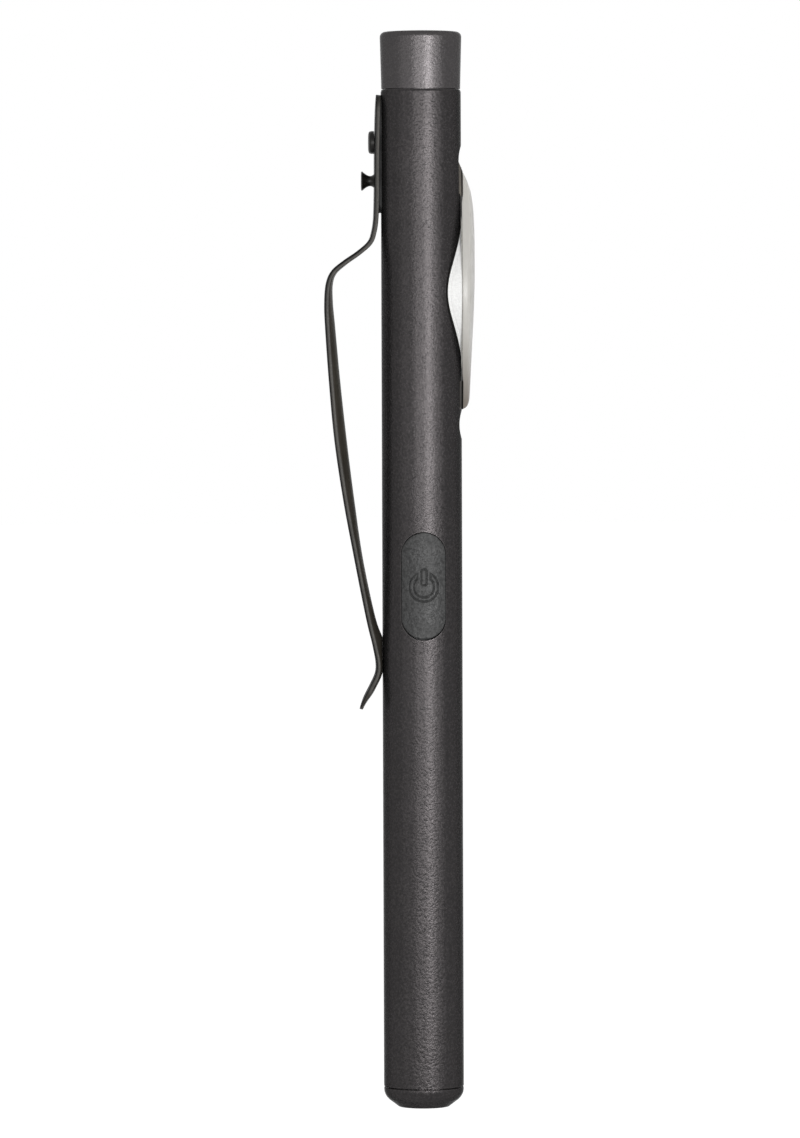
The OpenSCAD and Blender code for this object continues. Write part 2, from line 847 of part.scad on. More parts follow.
// The spring is one tube swept along a conical helix
module tail_spring() {
    count = spring_turns * spring_rings;
    function middle(i) =
        let (k = i / count, a = 360 * i / spring_rings, r = spring_r0 + (spring_r1 - spring_r0) * k)
        [r * cos(a), r * sin(a), spring_z0 + (spring_z1 - spring_z0) * k];
    function rim(i, j) =
        let (m = middle(i), a = 360 * i / spring_rings, b = 360 * j / spring_sides)
        m + spring_wire_r * [cos(a) * cos(b), sin(a) * cos(b), sin(b)];
    points = [for (i = [0 : count]) for (j = [0 : spring_sides - 1]) rim(i, j)];
    walls = [for (i = [0 : count - 1]) for (j = [0 : spring_sides - 1])
             let (a = i * spring_sides + j, b = i * spring_sides + (j + 1) % spring_sides)
             each [[a, b + spring_sides, b], [a, a + spring_sides, b + spring_sides]]];
    ends = [for (j = [1 : spring_sides - 2]) each [
        [0, j, j + 1],
        [count * spring_sides, count * spring_sides + j + 1, count * spring_sides + j]]];
    pitches = [for (i = [0 : count - spring_rings]) norm(middle(i + spring_rings) - middle(i))];
    echo(least_gap_between_spring_turns = min(pitches) - 2 * spring_wire_r);
    color([0.75, 0.75, 0.75])
        polyhedron(points, concat(walls, ends));
}

barrel_tube();
head_cap();
head_o_ring();
front_lens();
front_reflector();
front_led();
front_board();
side_reflector();
side_led_board();
side_leds();
side_bezel();
side_lens();
clip_pad();
clip_base();
clip_rivet();
clip_stud();
clip_arm();
button_boot();
switch_plunger();
switch_body();
button_retainer();
driver_board();
driver_coil();
driver_chips();
board_carrier();
lamp_leads();
spot_leads();
battery_cell();
cell_contact();
tail_cap();
tail_o_ring();
tail_spring();
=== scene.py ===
"""Looks of the penlight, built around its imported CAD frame. Lengths are in metres unless a name says mm."""
import math

import bpy
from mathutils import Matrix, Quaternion, Vector


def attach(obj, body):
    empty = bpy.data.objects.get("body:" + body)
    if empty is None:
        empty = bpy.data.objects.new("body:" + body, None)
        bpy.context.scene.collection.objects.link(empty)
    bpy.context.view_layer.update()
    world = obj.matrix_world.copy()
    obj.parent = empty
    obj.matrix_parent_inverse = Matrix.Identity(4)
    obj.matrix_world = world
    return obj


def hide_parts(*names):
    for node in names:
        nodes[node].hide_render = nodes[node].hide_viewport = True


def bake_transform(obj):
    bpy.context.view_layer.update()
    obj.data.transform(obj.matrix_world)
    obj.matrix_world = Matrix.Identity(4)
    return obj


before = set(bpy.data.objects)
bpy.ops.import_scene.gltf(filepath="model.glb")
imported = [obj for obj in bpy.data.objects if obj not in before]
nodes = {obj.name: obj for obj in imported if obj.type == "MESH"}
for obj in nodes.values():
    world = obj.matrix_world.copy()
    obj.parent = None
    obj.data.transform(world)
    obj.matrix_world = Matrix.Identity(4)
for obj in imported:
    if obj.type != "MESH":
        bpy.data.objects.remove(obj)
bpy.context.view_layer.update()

MM = 0.001
scene = bpy.context.scene

# Sizes in mm that the CAD source gives

TUBE_R = 6.15
LAMP_Z = 125.1
WINDOW_HALF_W = 5.0
WINDOW_HALF_L = 13.0
LENS_Z0 = 107.3
LENS_Z1 = 145.2
LENS_HALF_W = 5.05
SEAL_X = 6.0
LAND_X = 5.69
BUTTON_Z = 80.2
BUTTON_L = 16.4
BUTTON_W = 6.6
BOOT_R = 6.2
CLIP_W = 4.4
RIVET_Z = 148.1
STUD_Z = 142.2
HOLE_R = 0.82

# Sizes in mm that only the looks need

SHEET = 0.74
SIGN_R = 2.25
SIGN_LINE = 0.66
SIGN_DROP = 0.08
LAND_SPLIT_X = 6.12

# Outer line of the clip from its root to its tip, as (x, height)
CLIP_LINE = [(-6.86, 155.4), (-7, 153), (-7.1, 149.6), (-7.17, 146), (-7.2, 141), (-7.32, 136.6),
             (-7.64, 134.4), (-8.2, 132.95), (-9.85, 131.5), (-12, 130.05), (-13.8, 128.55), (-14.7, 126.6),
             (-15, 123.6), (-14.92, 120), (-14.36, 111.4), (-13.55, 102.3), (-12.18, 93), (-10.5, 84),
             (-8.71, 74.8), (-7.68, 70.4), (-7.25, 68.2), (-7.4, 66.6), (-8.2, 64.8), (-9.1, 63),
             (-9.75, 61.3)]
# Depth by which the middle of the strip bulges towards the tube at the same points
CLIP_ARCH = [0, 0, 0, 0, 0, 0, 0, 0, 0.03, 0.1, 0.22, 0.42, 0.7, 0.93, 1.14, 1.3, 1.08, 0.7, 0.84, 1.35,
             0.7, 0.4, 0.32, 0.28, 0.2]


# Small helpers

def lerp(a, b, t):
    """The value at share t of the way from a to b."""
    return a + (b - a) * t


def smooth(a, b, x):
    """0 at a and before, 1 at b and beyond, with a soft step between."""
    t = min(1.0, max(0.0, (x - a) / (b - a)))
    return t * t * (3 - 2 * t)


def through(points, u):
    """Point at parameter u on the uniform cubic through points, each a tuple of numbers."""
    i = min(int(u), len(points) - 2)
    t = u - i
    a, b, c, d = (points[max(0, min(len(points) - 1, i + k))] for k in (-1, 0, 1, 2))
    return tuple(q + 0.5 * t * (r - p + t * (2 * p - 5 * q + 4 * r - s + t * (3 * (q - r) + s - p)))
                 for p, q, r, s in zip(a, b, c, d))


def piece(name, points_mm, faces, mat, sharp=40):
    """A mesh object from points in mm, smooth except at edges sharper than that angle."""
    mesh = bpy.data.meshes.new(name)
    mesh.from_pydata([Vector(p) * MM for p in points_mm], [], faces)
    mesh.validate()
    mesh.polygons.foreach_set("use_smooth", [True] * len(mesh.polygons))
    mesh.set_sharp_from_angle(angle=math.radians(sharp))
    mesh.materials.append(mat)
    obj = bpy.data.objects.new(name, mesh)
    scene.collection.objects.link(obj)
    return obj


def loft(rings, closed=True, start=True, end=True):
    """Points and faces of a skin over rings that have the same number of points."""
    n = len(rings[0])
    points = [p for ring in rings for p in ring]
    faces = []
    for i in range(len(rings) - 1):
        for j in range(n if closed else n - 1):
            k = (j + 1) % n
            faces.append((i * n + j, i * n + k, (i + 1) * n + k, (i + 1) * n + j))
    last = (len(rings) - 1) * n
    if start:
        faces.append(tuple(reversed(range(n))))
    if end:
        faces.append(tuple(range(last, last + n)))
    return points, faces


def sweep(path, radius, sides):
    """Points and faces of a round tube along a path of points in mm."""
    rings = []
    side = Vector((0, 0, 1))
    for i, p in enumerate(path):
        before, after = path[max(0, i - 1)], path[min(len(path) - 1, i + 1)]
        d = (Vector(after) - Vector(before)).normalized()
        side = (side - d * side.dot(d)).normalized()
        up = d.cross(side)
        rings.append([Vector(p) + radius * (math.cos(a) * side + math.sin(a) * up)
                      for a in (2 * math.pi * j / sides for j in range(sides))])
    return loft(rings)


# Materials

class Look:
    """One procedural material, with short ways to add its nodes."""

    def __init__(self, name, color, rough, metal=0.0, **sockets):
        self.mat = bpy.data.materials.new(name)
        self.mat.use_nodes = True
        self.tree = self.mat.node_tree
        self.bsdf = next(n for n in self.tree.nodes if n.type == "BSDF_PRINCIPLED")
        self.coord = self.tree.nodes.new("ShaderNodeTexCoord").outputs["Object"]
        self.bsdf.inputs["Base Color"].default_value = (*color, 1)
        self.bsdf.inputs["Roughness"].default_value = rough
        self.bsdf.inputs["Metallic"].default_value = metal
        for key, value in sockets.items():
            self.bsdf.inputs[key.replace("_", " ")].default_value = value

    def add(self, kind, links=(), **values):
        """A new node; links holds pairs of an input and what goes into it."""
        node = self.tree.nodes.new(kind)
        for key, value in values.items():
            setattr(node, key, value)
        for socket, source in links:
            self.put(node.inputs[socket], source)
        return node

    def put(self, socket, source):
        """Links an output to an input, or sets a constant there."""
        if isinstance(source, bpy.types.NodeSocket):
            self.tree.links.new(source, socket)
        else:
            socket.default_value = source

    def noise(self, scale, detail=2.0, rough=0.5, stretch=(1, 1, 1)):
        """Noise in object space, with its scale multiplied along each axis."""
        place = self.add("ShaderNodeMapping", [("Vector", self.coord), ("Scale", stretch)])
        return self.add("ShaderNodeTexNoise", [("Vector", place.outputs[0]), ("Scale", scale),
                                               ("Detail", detail), ("Roughness", rough)]).outputs["Fac"]

    def spread(self, value, low, high, to_low, to_high):
        """value mapped from low..high to to_low..to_high, clamped."""
        return self.add("ShaderNodeMapRange", [("Value", value), ("From Min", low), ("From Max", high),
                                               ("To Min", to_low), ("To Max", to_high)]).outputs["Result"]

    def math(self, operation, a, b=0.0):
        """Result of one arithmetic operation."""
        return self.add("ShaderNodeMath", [(0, a), (1, b)], operation=operation).outputs[0]

    def blend(self, share, a, b):
        """Colour a at share 0 and b at share 1."""
        node = self.add("ShaderNodeMix", data_type="RGBA")
        self.put(node.inputs["Factor"], share)
        for socket, source in ((node.inputs[6], a), (node.inputs[7], b)):
            self.put(socket, source if isinstance(source, bpy.types.NodeSocket) else (*source, 1))
        return node.outputs[2]

    def share(self, name):
        """Value from 0 to 1 that a mesh keeps at its points, or 0 where it keeps none."""
        return self.add("ShaderNodeAttribute", attribute_name=name).outputs["Fac"]

    def axis(self, name):
        """One object coordinate in metres."""
        return self.add("ShaderNodeSeparateXYZ", [("Vector", self.coord)]).outputs[name]

    def edges(self, radius, low, high):
        """Share of wear: 1 on convex and concave edges, 0 on flats."""
        soft = self.add("ShaderNodeBevel", [("Radius", radius)], samples=4).outputs[0]
        flat = self.add("ShaderNodeNewGeometry").outputs["Normal"]
        same = self.add("ShaderNodeVectorMath", [(0, soft), (1, flat)], operation="DOT_PRODUCT")
        return self.spread(same.outputs["Value"], high, low, 0.0, 1.0)

    def color(self, source):
        """Sets what gives the base colour."""
        self.put(self.bsdf.inputs["Base Color"], source)

    def rough(self, source):
        """Sets what gives the roughness."""
        self.put(self.bsdf.inputs["Roughness"], source)

    def bump(self, height, distance):
        """Fine relief, with its depth in metres."""
        node = self.add("ShaderNodeBump", [("Height", height), ("Distance", distance), ("Strength", 1.0)])
        self.put(self.bsdf.inputs["Normal"], node.outputs[0])


def blasted(name, dark, light, rough, metal, grain, depth, **sockets):
    """Bead blasted metal: fine grain in colour, roughness and bump, with faint brighter edges."""
    look = Look(name, dark, rough, metal, **sockets)
    fine = look.noise(grain, 3.0, 0.6)
    broad = look.noise(90, 2.0)
    speck = look.spread(fine, 0.35, 0.68, 0.0, 1.0)
    tone = look.blend(speck, dark, light)
    tone = look.blend(look.spread(broad, 0.3, 0.7, 0.0, 0.35), tone, dark)
    worn = look.math("MULTIPLY", look.edges(0.00025, 0.9, 0.995), look.spread(broad, 0.35, 0.65, 0.15, 0.5))
    look.color(look.blend(worn, tone, tuple(min(1.0, 2.2 * c) for c in light)))
    look.rough(look.spread(fine, 0.3, 0.7, rough - 0.07, rough + 0.09))
    look.bump(fine, depth)
    return look.mat


def oxide(name, outside, inside, edge_highlight, rough):
    """Black oxide on spring steel: black outside, browner inside, with paler colour on its cut edges as a
    painted highlight.
    """
    look = Look(name, outside, rough, 0.2, Specular_IOR_Level=0.1)
    lines = look.noise(1400, 3.0, 0.6, (1, 1, 0.1))
    fine = look.noise(3200, 2.0)
    tone = look.blend(look.share("inner"), outside, inside)
    # Paler colour along the cut edges: a painted highlight.
    tone = look.blend(look.share("edge"), tone, edge_highlight)
    look.color(look.blend(look.spread(lines, 0.35, 0.7, 0.0, 0.4), tone, outside))
    look.rough(look.spread(fine, 0.3, 0.7, rough - 0.05, rough + 0.08))
    look.bump(fine, 0.000006)
    return look.mat


def rubber(name, dark, light, rough, grain, depth, **sockets):
    """Matt rubber with a mottled grain, and painted shade where the mesh keeps a groove."""
    look = Look(name, dark, rough, **sockets)
    fine = look.noise(grain, 2.0, 0.5)
    broad = look.noise(350, 3.0)
    mottle = look.math("ADD", fine, look.math("MULTIPLY", broad, 0.3))
    tone = look.blend(look.spread(mottle, 0.48, 0.82, 0.0, 1.0), dark, light)
    # Painted shade: where the mesh keeps a groove, the tone darkens towards a fifth of the dark colour.
    shade = tuple(c * 0.2 for c in dark)
    look.color(look.blend(look.spread(look.share("groove"), 0.15, 0.9, 0.0, 0.6), tone, shade))
    look.rough(look.spread(broad, 0.3, 0.7, rough - 0.1, rough + 0.12))
    look.bump(fine, depth)
    return look.mat


def plastic(name, dark, light, rough, grain=2500, depth=0.000004, **sockets):
    """Moulded plastic with broad faint patches and a fine grain."""
    look = Look(name, dark, rough, **sockets)
    fine = look.noise(grain, 2.0)
    broad = look.noise(220, 3.0)
    look.color(look.blend(look.spread(broad, 0.35, 0.65, 0.0, 1.0), dark, light))
    look.rough(look.spread(fine, 0.3, 0.7, max(0.02, rough - 0.06), rough + 0.08))
    look.bump(fine, depth)
    return look.mat


def brushed(name, color, rough, stretch, worn=0.25):
    """Bare metal with fine lines along one axis."""
    look = Look(name, color, rough, 1.0)
    lines = look.noise(900, 4.0, 0.7, stretch)
    broad = look.noise(300, 2.0)
    dull = tuple(c * (1 - worn) for c in color)
    look.color(look.blend(look.spread(lines, 0.3, 0.7, 0.0, 1.0), color, dull))
    look.rough(look.spread(broad, 0.3, 0.7, rough - 0.06, rough + 0.12))
    look.bump(lines, 0.000006)
    return look.mat


tube_metal = blasted("tube_metal", (0.0207, 0.0191, 0.0195), (0.0425, 0.039, 0.0396), 0.24, 0.85, 2700,
                     0.000056, Specular_IOR_Level=0.12, Specular_Tint=(0.3, 0.3, 0.3, 1),
                     Coat_Weight=0.6, Coat_Roughness=0.85, Coat_IOR=1.3)
cap_metal = blasted("cap_metal", (0.0445, 0.0413, 0.0422), (0.0615, 0.0572, 0.0582), 0.25, 0.8, 2700,
                    0.00005, Specular_IOR_Level=0.2, Specular_Tint=(0.4, 0.4, 0.4, 1),
                    Coat_Weight=0.7, Coat_Roughness=0.8, Coat_IOR=1.3)
# The clip's third colour is the painted highlight on its cut edges.
clip_steel = oxide("clip_steel", (0.004, 0.0038, 0.0036), (0.05, 0.0445, 0.036), (0.065, 0.0625, 0.058), 0.4)
fastener_steel = blasted("fastener_steel", (0.005, 0.0045, 0.004), (0.01, 0.009, 0.008), 0.36, 0.3, 3000,
                         0.000005, Specular_IOR_Level=0.25)
silver = blasted("reflector_silver", (0.72, 0.72, 0.71), (0.84, 0.84, 0.83), 0.6, 0.1, 3000, 0.00004,
                 Specular_IOR_Level=0.2)
button_rubber = rubber("button_rubber", (0.0145, 0.0146, 0.0146), (0.05, 0.0503, 0.0503), 0.44, 2100, 0.00015,
                       Specular_IOR_Level=0.3)
seal_rubber = rubber("seal_rubber", (0.006, 0.006, 0.006), (0.014, 0.014, 0.014), 0.6, 4000, 0.00001,
                     Specular_IOR_Level=0.25)
# Near-black plastic: the bezel's own colour, and painted shade where it makes the bead along the window's
# edge and the lower land's outer layer.
bezel_plastic = plastic("bezel_plastic", (0.003, 0.0028, 0.0026), (0.006, 0.0056, 0.0052), 0.6,
                        Specular_IOR_Level=0.08)
# The upper land's paler plastic is a painted highlight. The dark land plastic is its own colour on the upper
# land and painted shade on the lower one.
land_highlight_plastic = plastic("land_highlight_plastic", (0.1, 0.09, 0.077), (0.14, 0.126, 0.108), 0.3)
dark_land_and_shade = plastic("dark_land_and_shade", (0.022, 0.0195, 0.017), (0.034, 0.03, 0.026), 0.4)
black_plastic = plastic("black_plastic", (0.016, 0.016, 0.018), (0.028, 0.028, 0.03), 0.5, 3500, 0.000012)
board_white = plastic("board_white", (0.7, 0.7, 0.67), (0.8, 0.8, 0.78), 0.4)
ferrite = plastic("ferrite", (0.045, 0.042, 0.04), (0.07, 0.065, 0.06), 0.7, 4000, 0.00002)
wire_red = plastic("wire_red", (0.33, 0.012, 0.01), (0.42, 0.02, 0.016), 0.35)
wire_black = plastic("wire_black", (0.01, 0.01, 0.01), (0.018, 0.018, 0.018), 0.35)
switch_metal = brushed("switch_metal", (0.55, 0.55, 0.57), 0.3, (1, 1, 0.08))
spring_steel = brushed("spring_steel", (0.6, 0.6, 0.61), 0.24, (1, 1, 0.2))
contact_brass = brushed("contact_brass", (0.68, 0.49, 0.2), 0.28, (1, 0.1, 1))
mirror_silver = brushed("mirror_silver", (0.9, 0.9, 0.9), 0.08, (1, 1, 1), 0.04)


def board_look():
    """Green circuit board with faint copper tracks under the mask."""
    mask, track = (0.012, 0.09, 0.035), (0.03, 0.16, 0.06)
    look = Look("board_green", mask, 0.35)
    tracks = look.add("ShaderNodeTexBrick", [("Vector", look.coord), ("Scale", 260), ("Mortar Size", 0.035),
                                             ("Brick Width", 0.9), ("Row Height", 0.33)])
    look.color(look.blend(tracks.outputs["Fac"], mask, track))
    grain = look.noise(1500, 2.0)
    look.rough(look.spread(grain, 0.3, 0.7, 0.28, 0.45))
    look.bump(tracks.outputs["Fac"], 0.00002)
    return look.mat


def led_look():
    """Yellow phosphor, with a fine grain of paler spots."""
    look = Look("led_yellow", (0.85, 0.62, 0.09), 0.3)
    grain = look.noise(6000, 2.0)
    look.color(look.blend(look.spread(grain, 0.3, 0.7, 0.0, 1.0), (0.82, 0.58, 0.07), (0.92, 0.74, 0.2)))
    look.rough(look.spread(grain, 0.3, 0.7, 0.22, 0.4))
    look.bump(grain, 0.000008)
    return look.mat


def cell_look():
    """Shrink wrap with a pale band at one end, and bare steel at the nub and the bottom."""
    blue, gold = (0.03, 0.05, 0.09), (0.55, 0.42, 0.16)
    look = Look("cell_wrap", blue, 0.3)
    z = look.axis("Z")
    grain = look.noise(900, 3.0)
    wrap = look.blend(look.spread(z, 0.0475, 0.0477, 0.0, 1.0), blue, gold)
    nub = look.spread(z, 0.0551, 0.0552, 0.0, 1.0)
    bottom = look.spread(z, 0.0123, 0.0122, 0.0, 1.0)
    steel = look.math("MAXIMUM", nub, bottom)
    look.color(look.blend(steel, wrap, (0.6, 0.6, 0.6)))
    look.put(look.bsdf.inputs["Metallic"], steel)
    look.rough(look.spread(grain, 0.3, 0.7, 0.22, 0.4))
    look.bump(grain, 0.00002)
    return look.mat


def lens_look(name, color, rough, clear):
    """Moulded clear plastic with a faint haze, fine scratches, and painted shade at the side lens's lower
    end.
    """
    look = Look(name, color, rough, 0.0, IOR=1.49, Transmission_Weight=clear)
    haze = look.noise(600, 4.0, 0.6)
    scratch = look.noise(2500, 2.0, 0.6, (1, 1, 0.05))
    look.rough(look.spread(haze, 0.3, 0.7, max(0.0, rough - 0.06), rough + 0.08))
    tone = look.blend(look.spread(haze, 0.3, 0.7, 0.0, 1.0), color, tuple(c * 0.94 for c in color))
    # Painted shade: the side lens's colour darkens and browns towards its lower end
    low = look.spread(look.axis("Z"), 0.1195, 0.1085, 0.0, 1.0)
    look.color(look.blend(low, tone, (0.2, 0.175, 0.15)))
    look.bump(scratch, 0.000002)
    return look.mat


def seam_look():
    """Grey along the reflector, dark like the tube beyond it."""
    look = Look("seam_plastic", (0.3, 0.29, 0.27), 0.4)
    off = look.math("ABSOLUTE", look.math("SUBTRACT", look.axis("Z"), LAMP_Z * MM))
    grain = look.noise(2500, 2.0)
    grey = look.blend(look.spread(grain, 0.3, 0.7, 0.0, 1.0), (0.26, 0.25, 0.23), (0.36, 0.35, 0.33))
    look.color(look.blend(look.spread(off, 0.0105, 0.0118, 0.0, 1.0), grey, (0.03, 0.029, 0.028)))
    look.rough(look.spread(grain, 0.3, 0.7, 0.32, 0.5))
    look.bump(grain, 0.000006)
    return look.mat


board_green = board_look()
seam_plastic = seam_look()
led_yellow = led_look()
cell_wrap = cell_look()
lamp_lens = lens_look("lamp_lens", (0.6, 0.585, 0.55), 0.36, 0.2)
spot_lens = lens_look("spot_lens", (0.93, 0.95, 0.95), 0.06, 0.95)

for name, mat in {
    "barrel_tube": tube_metal, "tail_cap": tube_metal, "head_cap": cap_metal, "head_o_ring": seal_rubber,
    "tail_o_ring": seal_rubber, "clip_pad": seal_rubber, "front_lens": spot_lens,
    "front_reflector": mirror_silver, "front_led": led_yellow, "front_board": board_green,
    "side_reflector": silver, "side_led_board": board_white, "side_leds": led_yellow,
    "side_bezel": bezel_plastic, "side_lens": lamp_lens, "clip_base": clip_steel, "clip_arm": clip_steel,
    "clip_rivet": fastener_steel, "clip_stud": fastener_steel, "button_boot": button_rubber,
    "switch_plunger": black_plastic, "switch_body": switch_metal, "button_retainer": black_plastic,
    "driver_board": board_green, "driver_coil": ferrite, "driver_chips": black_plastic,
    "board_carrier": black_plastic, "lamp_leads": wire_red, "spot_leads": wire_black,
    "battery_cell": cell_wrap, "cell_contact": contact_brass, "tail_spring": spring_steel,
}.items():
    nodes[name].data.materials.clear()
    nodes[name].data.materials.append(mat)


# Spring clip: one strip of sheet that bends from its riveted root to its flared tip

def curve_run(line, count):
    """Points at count steps on the curve through line, and the run in mm up to each of them."""
    fine = [through(line, (len(line) - 1) * i / count) for i in range(count + 1)]
    run = [0.0]
    for a, b in zip(fine, fine[1:]):
        run.append(run[-1] + math.hypot(b[0] - a[0], b[1] - a[1]))
    return fine, run


def clip_half(s, left):
    """Half width of the strip in mm, s from its top and left from its tip, where it is rounded."""
    top_corner, tip_round = 2.0, 3.4
    half = CLIP_W / 2
    if s < top_corner:
        half += math.sqrt(top_corner ** 2 - (top_corner - s) ** 2) - top_corner
    if left < tip_round:
        half *= max(0.2, math.sqrt(1 - (1 - left / tip_round) ** 2))
    return half


def clip_section(half, t_half, outer_corner):
    """Section of the strip as (y, depth, share of painted edge highlight, share of inner face), all the way
    round.
    """
    inner_corner, across = 0.14, 7
    outer, inner = min(outer_corner, t_half * 0.8), min(inner_corner, t_half * 0.8)
    side = [(j / across * (half - outer), -t_half, 0, 0) for j in range(across + 1)]
    # The cut edge and its inner corner take a share of paler colour as a painted highlight.
    for angle, highlight_share in ((22, 0), (45, 0), (68, 0), (90, 0.1)):
        a = math.radians(angle)
        side.append((half - outer + outer * math.sin(a), -t_half + outer - outer * math.cos(a), highlight_share, 0))
    side.append((half, (outer - inner) / 2, 0.6, 0.5))
    for angle, highlight_share in ((0, 0.9), (22, 1), (45, 0.8), (68, 0.3)):
        a = math.radians(angle)
        side.append((half - inner + inner * math.cos(a), t_half - inner + inner * math.sin(a), highlight_share, 1))
    side += [(j / across * (half - inner), t_half, 0, 1) for j in range(across, -1, -1)]
    return side + [(-y, *more) for y, *more in reversed(side[1:-1])]


def clip_rings():
    """Sections along the clip, with the shares of painted edge highlight and of inner face at their points.
    """
    line = [(x, z, arch) for (x, z), arch in zip(CLIP_LINE, CLIP_ARCH)]
    fine, run = curve_run(line, 2000)
    total = run[-1]
    # Sections at even steps along the line, closer together at both ends
    ends = [0.0, 0.02, 0.07, 0.15, 0.3, 0.5, 0.75, 1.05, 1.4, 1.8, 2.2]
    stops = ends + [lerp(2.7, total - 2.7, i / 210) for i in range(211)] + [total - e for e in reversed(ends)]
    rings, edge_highlight_share, inner_share = [], [], []
    at = 0
    for s in stops:
        left = total - s
        while at < len(run) - 2 and run[at + 1] < s:
            at += 1
        t = (s - run[at]) / max(1e-9, run[at + 1] - run[at])
        x, z, arch = (lerp(p, q, t) for p, q in zip(fine[at], fine[at + 1]))
        before, after = fine[max(0, at - 4)], fine[min(len(fine) - 1, at + 5)]
        d = Vector((after[0] - before[0], after[1] - before[1])).normalized()
        inward = Vector((-d[1], d[0]))
        # The sheet thins over its last bit, so that both ends are round too
        end = 1 - min(1.0, min(s, left) / 0.15)
        thin = min(1.0, math.sqrt(1 - end * end) + 0.35) * lerp(0.5, 1, smooth(0, 3.5, left))
        t_half = SHEET / 2 * thin
        # The bulge stops where it meets the tube
        if inward[0] > 0.5:
            arch = min(arch, (-TUBE_R - x) / inward[0] - 2 * t_half)
        half = clip_half(s, left)
        outer_corner = lerp(0.14, 0.48, smooth(134, 128, z) * smooth(63, 72, z))
        ring = []
        for y, depth, highlight_share, inside in clip_section(half, t_half, outer_corner):
            v = y / half
            place = Vector((x, z)) + inward * (arch * (1 - v * v) + t_half + depth)
            ring.append((place[0], y, place[1]))
            # The painted edge highlight fades towards the tip.
            edge_highlight_share.append(highlight_share * lerp(0.3, 1, smooth(0, 5, left)))
            inner_share.append(inside)
        rings.append(ring)
    return rings, edge_highlight_share, inner_share


def clip_strip():
    """The clip in one piece, from its riveted root to its flared tip."""
    rings, edge_highlight_share, inner_share = clip_rings()
    points, faces = loft(rings)
    obj = piece("clip_strip", points, faces, clip_steel, 55)
    for name, values in (("edge", edge_highlight_share), ("inner", inner_share)):
        obj.data.attributes.new(name, "FLOAT", "POINT").data.foreach_set("value", values)
    drill(obj, [(RIVET_Z, HOLE_R), (STUD_Z, HOLE_R)])
    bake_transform(obj)
    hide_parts("clip_base", "clip_arm")


def drill(obj, holes):
    """Round holes along X through a piece, at heights and radii in mm."""
    for i, (z, r) in enumerate(holes):
        ring = [[(x, r * math.cos(a), z + r * math.sin(a)) for a in (2 * math.pi * k / 32 for k in range(32))]
                for x in (-9.0, -5.0)]
        points, faces = loft(ring)
        bit = piece(f"bit_{i}", points, faces, clip_steel)
        cut = obj.modifiers.new("hole", "BOOLEAN")
        cut.operation, cut.solver, cut.object = "DIFFERENCE", "EXACT", bit
        bpy.context.view_layer.update()
        done = bpy.data.meshes.new_from_object(obj.evaluated_get(bpy.context.evaluated_depsgraph_get()))
        obj.modifiers.clear()
        obj.data = done
        bpy.data.objects.remove(bit)


clip_strip()


# Side lamp: domed lens, two end lands and a seam under it, a black bead of painted shade along the window's
# edge, and the reflector wall in the window

# Front line of the lens from its lower to its upper end, as (height, distance from the axis)
LENS_LINE = [(107.25, 6.37), (107.45, 6.75), (107.9, 7.1), (108.8, 7.32), (110.5, 7.43), (113.5, 7.57),
             (118, 7.79), (122, 7.99), (126, 8.12), (130, 8.165), (133, 8.155), (135.1, 8.12), (138, 7.97),
             (140.4, 7.62), (142, 7.12), (142.7, 6.82), (143.4, 6.47)]


def lens_half(z):
    """Half width in mm of the lens's outline at height z: an eye shape with round corners."""
    reach = LENS_Z1 - LAMP_Z if z > LAMP_Z else LAMP_Z - LENS_Z0
    u = max(-0.999, min(0.999, (z - LAMP_Z) / reach))
    corner_w = 1.6
    return corner_w * math.sqrt(1 - u * u) + (LENS_HALF_W - corner_w) * math.cos(math.pi / 2 * u) ** 2


def lens_base(z):
    """Distance in mm from the axis to the lens's underside; it steps up over both end lands."""
    under, low_step, high_step = 6.2, 0.16, 0.2
    return under + low_step * (1 - smooth(111.0, 113.0, z)) + high_step * smooth(138.6, 140.4, z)


def window_edge(share, g):
    """Half width and height in mm on the lamp window's edge moved out by g; share runs from -1 to 1."""
    half = WINDOW_HALF_W * math.cos(math.pi / 2 * share) + g
    return max(0.03, half), LAMP_Z + (WINDOW_HALF_L + g) * share


def lens_cover():
    """Domed lens, with a squarish arch as its section at each height."""
    power, rows, arc = 3.2, 120, 32
    rings = []
    for i in range(rows + 1):
        z, x = through(LENS_LINE, (len(LENS_LINE) - 1) * i / rows)
        base, half = lens_base(z), lens_half(z)
        rise = max(0.02, x - base)
        ring = []
        for j in range(arc + 1):
            c, t = math.cos(math.pi * j / arc), math.sin(math.pi * j / arc)
            across = math.copysign(abs(c) ** (2 / power), c)
            ring.append((base + rise * abs(t) ** (2 / power), across * half, z))
        rings.append(ring)
    points, faces = loft(rings)
    obj = piece("lamp_cover", points, faces, lamp_lens, 60)
    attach(obj, "barrel")
    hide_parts("side_lens")


def land(z0, z1, x0, top):
    """Strip under one end of the lens, with bulged sides; top gives its outer face at a height."""
    rings = []
    for i in range(25):
        z = lerp(z0, z1, i / 24)
        half, x1 = max(0.2, lens_half(z) - 0.05), max(x0 + 0.05, top(z))
        ring = []
        for k in range(9):
            a = math.pi * (k / 8 - 0.5)
            ring.append((lerp(x0, x1, 0.5 + 0.5 * math.sin(a)), half - 0.12 + 0.12 * math.cos(a), z))
        rings.append(ring + [(x, -y, h) for x, y, h in reversed(ring)])
    return loft(rings)


def seam(side):
    """Thin band between the lens and the window, along one side."""
    rings = []
    for i in range(81):
        z = lerp(111.4, 140.0, i / 80)
        out, back = lens_half(z) - 0.14, max(0.1, lens_half(z) - 0.75)
        rings.append([(SEAL_X - 0.01, side * out, z), (lens_base(z) + 0.01, side * out, z),
                      (lens_base(z) + 0.01, side * back, z), (SEAL_X - 0.01, side * back, z)][::int(-side)])
    return loft(rings)


